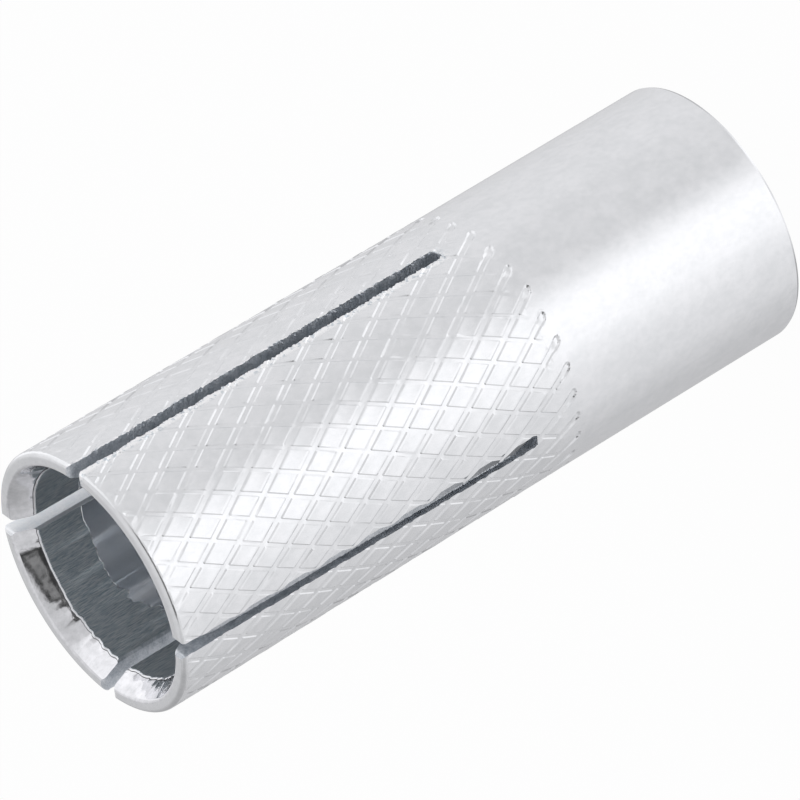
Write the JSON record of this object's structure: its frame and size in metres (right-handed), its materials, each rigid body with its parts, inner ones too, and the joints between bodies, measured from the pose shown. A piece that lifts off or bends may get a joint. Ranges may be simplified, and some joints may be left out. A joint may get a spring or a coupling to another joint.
{
  "type": "expansion anchor sleeve",
  "caption": "Zinc-plated steel expansion anchor sleeve: a tube with a plain threaded end, a diamond-knurled barrel and an open mouth sawn into petals.",
  "frame": {"origin": "centre of the plain end face, on the sleeve's axis, where it stands", "axes": "+Z along the axis from the plain threaded end to the split mouth, +X and +Y through the saw slots"},
  "size_m": [0.0122, 0.0122, 0.0334],
  "materials": {
    "zinc_plated_steel": "bright zinc plate over turned steel, satin with fine handling marks"
  },
  "bodies": {
    "root": {"anchor_sleeve": "zinc_plated_steel"}
  },
  "joints": []
}
